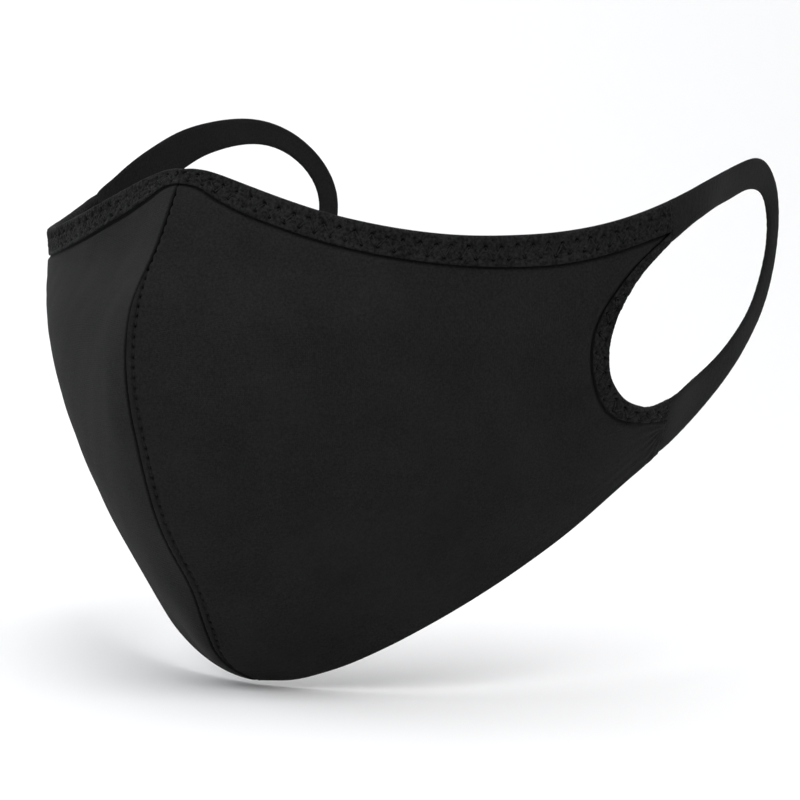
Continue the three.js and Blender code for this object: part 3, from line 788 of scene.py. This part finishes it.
# Folded tapes
class FoldedTape:
    """Tape folded over an edge: s is the length along the edge, and d the distance from the fold."""

    def __init__(self, total, place, outward, width, lift, seed, sink=None, thin_start=False):
        self.total = total
        self.place = place
        self.outward = outward
        self.width = width
        self.lift = lift
        self.sink = sink
        self.thin_start = thin_start
        random = np.random.default_rng(seed)
        count = int(total / ZIGZAG_PERIOD * 2)
        even_s = (np.arange(count) + 0.5) * ZIGZAG_PERIOD / 2
        self.needle_s = even_s + random.normal(0, NEEDLE_JITTER, count)
        far = np.arange(count) % 2 == 1
        even_d = np.where(far, ZIGZAG_FAR, ZIGZAG_NEAR) * self.scale(self.needle_s)
        self.needle_d = even_d + random.normal(0, NEEDLE_JITTER, count)
        self.needle_pull = random.uniform(0.75, 1.2, count) * np.where(far, 0.8, 1.0)
        self.sewn = width(self.needle_s) > NARROWEST_SEWN

    def scale(self, s):
        """Width as a share of the full tape's."""
        return np.clip(self.width(s) / TAPE_WIDTH, 0, 1)

    def height(self, s, d):
        """Height of the tape's face above the cloth's face, with its stitches pulled in, and the painted
        shade in the dents they make.
        """
        full = smooth(self.total - s, 0, 4.5)
        if self.thin_start:
            full = full * smooth(s, -0.01, 3.0)
        top = (TAPE_END_HEIGHT + (TAPE_HEIGHT - TAPE_END_HEIGHT) * full) * np.ones_like(d)
        top = top + 0.05 * noise(s, d, 9, 31) + self.roughness(s, d)
        top = top - TAPE_HOLLOW * hump(d, (ZIGZAG_NEAR + ZIGZAG_FAR) / 2 * self.scale(s), 1.8)
        drop = np.zeros(np.broadcast(s, d).shape)
        for k in np.flatnonzero(self.sewn):
            reach = (self.needle_s[k] - NEEDLE_REACH, self.needle_s[k] + NEEDLE_REACH)
            near = slice(*np.searchsorted(s[:, 0], reach))
            x, y = s[near] - self.needle_s[k], d[near] - self.needle_d[k]
            dent = NEEDLE_DEPTH * self.needle_pull[k] * np.exp(-(x * x + y * y) / NEEDLE_RADIUS ** 2)
            spread = (x / 0.55) ** 2 + (np.minimum(y, 0) / 1.5) ** 2 + (np.maximum(y, 0) / 0.7) ** 2
            pinch = PINCH_DEPTH * self.needle_pull[k] * np.exp(-spread)
            drop[near] += dent + pinch
            if k + 1 < len(self.needle_s):
                leg_s = self.needle_s[k + 1] - self.needle_s[k]
                leg_d = self.needle_d[k + 1] - self.needle_d[k]
                t = np.clip((x * leg_s + y * leg_d) / (leg_s ** 2 + leg_d ** 2), 0, 1)
                off = (x - t * leg_s) ** 2 + (y - t * leg_d) ** 2
                drop[near] = np.maximum(drop[near], LEG_DEPTH * np.exp(-off / LEG_WIDTH ** 2))
        drop = np.minimum(drop, STITCH_DEPTH_MOST) * smooth(d, 0.5, 1.4)
        # Painted shade: darker where the stitches pull the tape's face in
        return top - drop, 0.85 * smooth(drop, 0.18, STITCH_DEPTH_MOST)

    def roughness(self, s, d):
        """Uneven face of the tape: rough where the stitches are, with ribs across it next to the fold."""
        scale = self.scale(s)
        sewn = smooth(d / scale, 1.0, 2.2) * (1 - smooth(d / scale, 5.2, 6.4))
        rough = 0.09 * noise(s, d * 0.6, 1.9, 32) + 0.08 * noise(s, d, 1.0, 33)
        bent = s * 2 * math.pi / RIB_PERIOD + 1.4 * noise(s, d, 6, 34)
        ribs = RIB_HEIGHT * np.sin(bent) * smooth(d, 0.6, 1.5)
        return rough * (0.35 + 0.65 * sewn) + ribs * (1 - smooth(d / scale, 2.2, 3.4))

    def point(self, s, d, height):
        across, down = self.place(s, d)
        if self.sink:
            height = height - self.sink(s)
        return layer(across, down, height) + self.rise(s)

    def rise(self, s):
        """How far the whole tape stands past the cloth's edge line."""
        return self.outward(s) * self.lift(s)[..., None]

    def rings(self, count):
        """Closed rings round the folded tape, the weave's place of each point, and the painted shade of
        each point.
        """
        s = np.linspace(0, self.total - 0.01, count)[:, None]
        width = self.width(s)
        rim_d = width - np.array(RIM_INSET)
        rim_h = np.array(RIM_HEIGHT)
        inset = width - FACE_INSET
        face_d = inset + (FOLD_RADIUS - inset) * np.linspace(0, 1, TAPE_COLUMNS)[None]
        face_h, face_painted_shade = self.height(s, face_d)
        rim_h = np.where(rim_h > 0.5, rim_h / 0.95 * face_h[:, :1], rim_h)
        turn = np.radians(FOLD_TURN)
        fold_d = np.broadcast_to(FOLD_RADIUS * (1 - np.sin(turn)), (count, len(turn)))
        fold_h = -CLOTH / 2 + (face_h[:, -1:] + CLOTH / 2) * np.cos(turn)
        outer_d = np.concatenate([rim_d, face_d, fold_d], axis=1)
        outer_h = np.concatenate([rim_h, face_h, fold_h], axis=1)
        inner_d, inner_h = outer_d[:, -2::-1], -CLOTH - outer_h[:, -2::-1]
        core_d = np.maximum(width * np.array(CORE_SHARES), FOLD_RADIUS * 0.8)
        hold = np.full(core_d.shape, TAPE_PRESS - 0.02)
        ring_d = np.concatenate([outer_d, inner_d, core_d, core_d[:, ::-1]], axis=1)
        ring_h = np.concatenate([outer_h, inner_h, hold - CLOTH, -hold], axis=1)
        ring_s = np.broadcast_to(s, ring_d.shape)
        # Painted shade only on the tape's outer face, from its stitch dents
        painted_shade = np.zeros(ring_d.shape)
        painted_shade[:, rim_d.shape[1]:rim_d.shape[1] + face_d.shape[1]] = face_painted_shade
        return self.point(ring_s, ring_d, ring_h), np.stack([ring_s, ring_d], -1) * MM, painted_shade

    def legs(self, inside):
        """Paths of the zigzag's legs, on the outer face or on the inner one."""
        k = np.flatnonzero(self.sewn[:-1] & self.sewn[1:])[:, None]
        t = np.linspace(0, 1, 9)[None]
        s = self.needle_s[k] * (1 - t) + self.needle_s[k + 1] * t
        d = self.needle_d[k] * (1 - t) + self.needle_d[k + 1] * t
        bow = np.sin(math.pi * t) ** 0.5
        groove = TAPE_HEIGHT - TAPE_HOLLOW - LEG_DEPTH
        height = groove - LEG_SINK + LEG_BOW * bow + 0.03 * np.sin(s * 3)
        if inside:
            height = -CLOTH - height
        return self.point(s, d, height)


def top_place(s, d):
    return below_top(np.interp(s, edge_lengths, edge_shares) * GRID_END, d)


def ear_place(s, d):
    across, down = beside_hole(np.interp(s, hole_lengths, hole_shares), d)
    return np.minimum(across, GRID_END), down


def top_outward(s):
    edge = np.interp(s, edge_lengths, edge_shares)
    return -unit(face_slopes(edge, np.zeros_like(edge))[1])


def ear_outward(s):
    """Direction out of the cloth into the hole."""
    share = np.interp(s, hole_lengths, hole_shares)
    return -unit(np.cross(hole_tangent(share), face_normal(*hole_edge(share))))


def ear_width(s):
    return ear_tape_width(np.interp(s, hole_lengths, hole_shares)) + column(EAR_LIFT, "lift", s)


def top_width(s):
    return column(TOP_TAPE, "width", s)


def top_lift(s):
    return column(TOP_TAPE, "lift", s)


def right_lift(s):
    return top_lift(s) + column(RIGHT_TAPE, "lift", s)


def right_sink(s):
    return column(RIGHT_TAPE, "sink", s)


def ear_lift(s):
    return column(EAR_LIFT, "lift", s)


TOP = FoldedTape(edge_lengths[-1], top_place, top_outward, top_width, top_lift, 3)
TOP_RIGHT = FoldedTape(edge_lengths[-1], top_place, top_outward, top_width, right_lift, 3, right_sink)
EAR = FoldedTape(hole_lengths[-1], ear_place, ear_outward, ear_width, ear_lift, 4, thin_start=True)


def tape_object(name, points, uv, painted_shade, node_name, side=1):
    """A folded tape's rings as one closed piece."""
    rows, cols = points.shape[:2]
    quads = grid_faces(rows, cols, True).tolist()
    caps = [list(range(cols)), list(range(rows * cols - 1, (rows - 1) * cols - 1, -1))]
    return piece(name, mirrored(points.reshape(-1, 3), side), quads + caps, TAPE_LOOK,
                 uv.reshape(-1, 2), node_name, painted_shade, len(caps))


def top_tape():
    """The tape over the whole top edge, its halves meeting at the nose."""
    left, uv, painted_shade = TOP.rings(560)
    right = TOP_RIGHT.rings(560)[0]
    left[0, :, 0] = 0
    points = np.concatenate([mirrored(right, -1)[:0:-1], left])
    painted_shade = np.concatenate([painted_shade[:0:-1], painted_shade])
    return tape_object("top_tape", points, np.concatenate([uv[:0:-1] * [-1, 1], uv]), painted_shade, "top_binding")


def ear_tape(name, node_name, side):
    points, uv, painted_shade = EAR.rings(270)
    return tape_object(name, points, uv, painted_shade, node_name, side)


# Threads
def thread_tubes(paths, sides=6):
    """Points and quads of short stitches along paths, with closed ends."""
    tangent = unit(np.gradient(paths, axis=1))
    helper = np.where(np.abs(tangent[..., 2:3]) > 0.9, [1.0, 0, 0], [0, 0, 1.0])
    a = unit(np.cross(tangent, helper))
    b = np.cross(tangent, a)
    turn = np.arange(sides) * 2 * math.pi / sides
    ring = a[:, :, None] * np.cos(turn)[:, None] + b[:, :, None] * np.sin(turn)[:, None]
    thick = np.full(paths.shape[1], THREAD_RADIUS)
    thick[[0, -1]] *= 0.55
    points = paths[:, :, None] + ring * thick[None, :, None, None]
    count, rows = paths.shape[:2]
    quads = np.concatenate([grid_faces(rows, sides, True), ring_caps(rows, sides)])
    offsets = np.arange(count)[:, None, None] * rows * sides
    return points.reshape(-1, 3), (quads[None] + offsets).reshape(-1, 4)


def threads(name, paths, side=1):
    """All stitches along the paths as one piece."""
    points, quads = thread_tubes(paths)
    return piece(name, mirrored(points, side), quads, THREAD_LOOK)


def topstitch():
    """Straight stitches down the left side of the front seam."""
    downs = np.linspace(0, 1, 600)
    along = lengths(seam_line(len(downs)))
    starts = np.arange(TOPSTITCH_START, along[-1] - 1.0 - TOPSTITCH_PERIOD, TOPSTITCH_PERIOD)[:, None]
    t = np.linspace(0, 1, 7)[None]
    s = starts + STITCH_GAP + (TOPSTITCH_PERIOD - 2 * STITCH_GAP) * t
    down = np.interp(s, along, downs)
    row = np.linalg.norm(face_slopes(np.full(down.shape, 0.01), down)[0], axis=-1)
    inset = TOPSTITCH_MERGED + (TOPSTITCH_INSET - TOPSTITCH_MERGED) * topstitch_apart(s)
    bow = TOPSTITCH_BOW * np.sin(math.pi * t) ** 0.7
    lift = bow - TOPSTITCH_SINK - MERGED_SINK * (1 - topstitch_apart(s))
    paths = layer(inset / row, down, lift) + seam_shift(inset, down, 1)
    return threads("seam_topstitch", paths)


# Ear loops
def loop_rows(side, lift):
    """A strap's table of sections from joint to joint, and its half width at each joint."""
    rows = table(LOOP_COLUMNS, LOOP_ROWS)
    tops = layer(np.ones(2), np.array([0, EAR_HOLE_TOP]), np.full(2, -CLOTH / 2))
    feet = layer(np.ones(2), np.array([1, EAR_HOLE_BOTTOM]), np.full(2, -CLOTH / 2))
    tops[0] += [0, 0, column(TOP_TAPE, "lift", edge_lengths[-1])]
    tops[1] += unit(tops[1] - tops[0]) * HOLE_TOP_EXTRA
    feet[0] += unit(feet[0] - feet[1]) * foot_extra(1.0, side)
    feet[1] += unit(feet[1] - feet[0]) * HOLE_FOOT_EXTRA
    feet[0] += face_normal(np.array(1.0), np.array(1.0)) * CORNER_RISE
    top, foot = tops.mean(0), feet.mean(0)
    top_half, foot_half = (tops[0] - tops[1]) / 2, (feet[0] - feet[1]) / 2
    sections = {
        "at": (0, rows["at"], 1),
        "x": (top[0], rows["out"] * HALF_WIDTH, foot[0]),
        "y": (top[1], PANEL_DEPTH + rows["back"] * LOOP_REACH, foot[1]),
        "z": (top[2], rows["lift"] * lift - rows["drop"] * MASK_HEIGHT, foot[2]),
        "heading": (TOP_JOINT_TURN[0], rows["heading"], BOTTOM_JOINT_TURN[0]),
        "lean": (TOP_JOINT_TURN[1], rows["lean"], BOTTOM_JOINT_TURN[1]),
        "width": (2 * np.linalg.norm(top_half), rows["width"] * STRAP_WIDTH, 2 * np.linalg.norm(foot_half)),
    }
    return {name: np.hstack(parts) for name, parts in sections.items()}, top_half, foot_half


def strap(name, node_name, side, lift):
    """Flat strap from the upper joint behind the ear to the lower joint."""
    rows, top_half, foot_half = loop_rows(side, lift)
    fit = table(STRAP_FIT_COLUMNS, LEFT_STRAP_FIT if side > 0 else RIGHT_STRAP_FIT)
    at = np.linspace(0, 1, 300)
    centre = stack(column(rows, "x", at), column(rows, "y", at), column(rows, "z", at))
    along = lengths(centre)
    centre = eased(centre, along, LOOP_EASE) + stack(*(column(fit, name, at) for name in "xyz"))
    for gap in (along, along[-1] - along):
        centre[:, 0] += JOINT_BULGE * gap * np.exp(-gap / JOINT_BULGE_REACH)
    tangent = unit(np.gradient(centre, axis=0))
    heading, lean = np.radians(column(rows, "heading", at)), np.radians(column(rows, "lean", at))
    facing = stack(np.sin(heading) * np.cos(lean), -np.cos(heading) * np.cos(lean), np.sin(lean))
    broader = (side < 0) * RIGHT_BASE_WIDEN * hump(at, RIGHT_BASE_AT, RIGHT_BASE_REACH)
    width = column(rows, "width", at) * (LOOP_WIDEN + broader)
    wide = unit(np.cross(facing, tangent)) * (width / 2)[:, None]
    near_top = smooth(1 - at / JOINT_BLEND, 0, 1)[:, None]
    near_foot = smooth(1 - (1 - at) / JOINT_BLEND, 0, 1)[:, None]
    wide = wide * (1 - near_top - near_foot) + top_half * near_top + foot_half * near_foot
    half = eased(np.linalg.norm(wide, axis=-1, keepdims=True), along, LOOP_EASE)[:, 0]
    half = half + column(fit, "wider", at)
    wide = unit(eased(unit(wide), along, LOOP_EASE))
    face = unit(np.cross(tangent, wide))
    along = along[:, None]
    free = (smooth(at, 0, 0.08) * smooth(1 - at, 0, 0.08))[:, None]
    s = np.linspace(1, -1, STRAP_COLUMNS)
    outer = np.repeat([1, -1], STRAP_COLUMNS)[None]
    s = np.concatenate([s, s[::-1]])[None]
    edge = np.sqrt(np.clip(1 - np.abs(s) ** 6, 0, 1))
    bow = STRAP_CUP * s ** 2 + 0.05 * np.sin(along / 7.0) * s
    bend = (0.10 * np.sin(along / 11.0) + 0.05 * np.sin(along / 4.7 + 1) * s) * free
    out = half[:, None] * s
    grain = 0.02 * noise(along, out, 2.0, 41)
    thick = STRAP_THICKNESS / 2 * (0.18 + 0.82 * edge) * outer
    centre = centre - wide * (half * broader / LOOP_WIDEN)[:, None]
    height = thick - bow + bend + grain
    points = centre[:, None] + wide[:, None] * out[..., None] + face[:, None] * height[..., None]
    count, cols = points.shape[:2]
    faces = np.concatenate([grid_faces(count, cols, True), ring_caps(count, cols)])
    uv = np.stack(np.broadcast_arrays(out, along), -1) * MM
    return piece(name, mirrored(points.reshape(-1, 3), side), faces, STRAP_LOOK, uv.reshape(-1, 2),
                 node_name, flat=2 * (cols // 2 - 1))


# Pieces
left_cloth = panel("left_cloth", "left_panel", 1)
right_cloth = panel("right_cloth", "right_panel", -1)
top_fold = top_tape()
left_fold = ear_tape("left_ear_tape", "left_ear_binding", 1)
right_fold = ear_tape("right_ear_tape", "right_ear_binding", -1)
strap("left_strap", "left_ear_loop", 1, 0)
strap("right_strap", "right_ear_loop", -1, RIGHT_LOOP_LIFT)
for side_name, way, top in (("left", 1, TOP), ("right", -1, TOP_RIGHT)):
    for place, inside in (("outside", False), ("inside", True)):
        threads(f"{side_name}_top_zigzag_{place}", top.legs(inside), way)
        threads(f"{side_name}_ear_zigzag_{place}", EAR.legs(inside), way)
topstitch()

# Stage: a pale floor that curves up into a backdrop
FLOOR_Z = -MASK_HEIGHT - 1.0
SWEEP_RADIUS = 600.0
FLOOR_FRONT = -2600.0
FLOOR_BACK = 450.0
HALF_SPREAD = 3200.0
WALL_TOP = 2600.0


def backdrop():
    """The floor and backdrop as one sheet of paper, turned to face the camera."""
    profile = [(FLOOR_FRONT, FLOOR_Z), (FLOOR_BACK, FLOOR_Z)]
    for angle in np.linspace(0, math.pi / 2, 24)[1:]:
        profile.append((FLOOR_BACK + SWEEP_RADIUS * math.sin(angle),
                        FLOOR_Z + SWEEP_RADIUS * (1 - math.cos(angle))))
    profile.append((FLOOR_BACK + SWEEP_RADIUS, WALL_TOP))
    turn = Matrix.Rotation(math.radians(VIEW_AZIMUTH), 3, "Z")
    points = []
    for x in (-HALF_SPREAD, HALF_SPREAD):
        points += [tuple(turn @ Vector((x, y, z))) for y, z in profile]
    count = len(profile)
    faces = [(k, k + 1, count + k + 1, count + k) for k in range(count - 1)]
    mesh = bpy.data.meshes.new("studio_sweep")
    mesh.from_pydata([tuple(c * MM for c in p) for p in points], [], faces)
    mesh.polygons.foreach_set("use_smooth", [True] * len(faces))
    mesh.materials.append(surface("studio_paper", PAPER_SURFACE)[0])
    floor = bpy.data.objects.new("studio_sweep", mesh)
    bpy.context.collection.objects.link(floor)


# Camera: azimuth and elevation of the view, and its distance and offsets from the nose bridge
VIEW_AZIMUTH = 35.0
VIEW_ELEVATION = 4.8
VIEW_DISTANCE = 700.0
NOSE_RIGHT = 54.5
NOSE_UP = -57.925
LENS = 126.0

# Lights: soft squares that look at the middle of the mask
LIGHT_DISTANCE = 1500.0
LIGHT_SIZE = 1.3
LIGHT_AIM = (0, 40, -60)
LIGHTS = (
    ("key_left", -66, 24, 10.0, (0.93, 0.965, 1.0)),
    ("front_soft", 35, 52, 16.0, (1, 1, 1)),
    ("top_soft", 20, 85, 7.5, (1, 1, 1)),
)
WORLD_STRENGTH = 0.30


def view_axes(azimuth, elevation):
    """Directions right, up and back of a view that looks at the part."""
    a, e = math.radians(azimuth), math.radians(elevation)
    back = np.array([math.sin(a) * math.cos(e), -math.cos(a) * math.cos(e), math.sin(e)])
    right = np.array([math.cos(a), math.sin(a), 0.0])
    return right, np.cross(back, right), back


def aimed(name, data, spot, axes):
    """Camera or lamp at a spot in millimetres, looking against the last of its axes."""
    obj = bpy.data.objects.new(name, data)
    rows = [[*row, place] for row, place in zip(np.stack(axes, 1), spot * MM)]
    obj.matrix_world = Matrix(rows + [[0, 0, 0, 1]])
    bpy.context.collection.objects.link(obj)
    return obj


def make_camera():
    right, up, back = view_axes(VIEW_AZIMUTH, VIEW_ELEVATION)
    data = bpy.data.cameras.new("camera")
    data.lens = LENS
    data.sensor_width = 36
    data.clip_start = 0.01
    data.clip_end = 50
    spot = right * NOSE_RIGHT + up * NOSE_UP + back * VIEW_DISTANCE
    bpy.context.scene.camera = aimed("camera", data, spot, (right, up, back))


def area_light(name, azimuth, elevation, power, colour):
    axes = view_axes(azimuth, elevation)
    data = bpy.data.lights.new(name, "AREA")
    data.shape = "SQUARE"
    data.size = LIGHT_SIZE
    data.energy = power
    data.color = colour
    aimed(name, data, np.array(LIGHT_AIM) + axes[2] * LIGHT_DISTANCE, axes)


backdrop()
make_camera()
for light in LIGHTS:
    area_light(*light)

world = bpy.data.worlds.new("studio_air")
world.use_nodes = True
settle(world.node_tree.nodes["Background"], {"Color": (1, 1, 1, 1), "Strength": WORLD_STRENGTH})
bpy.context.scene.world = world
bpy.context.scene.view_settings.view_transform = "Standard"

# Flat sizes of the cloth in metres, from lengths along the face
row_length = lengths(line_across(0.4))[-1] * MM
seam_length = lengths(seam_line(200))[-1] * MM
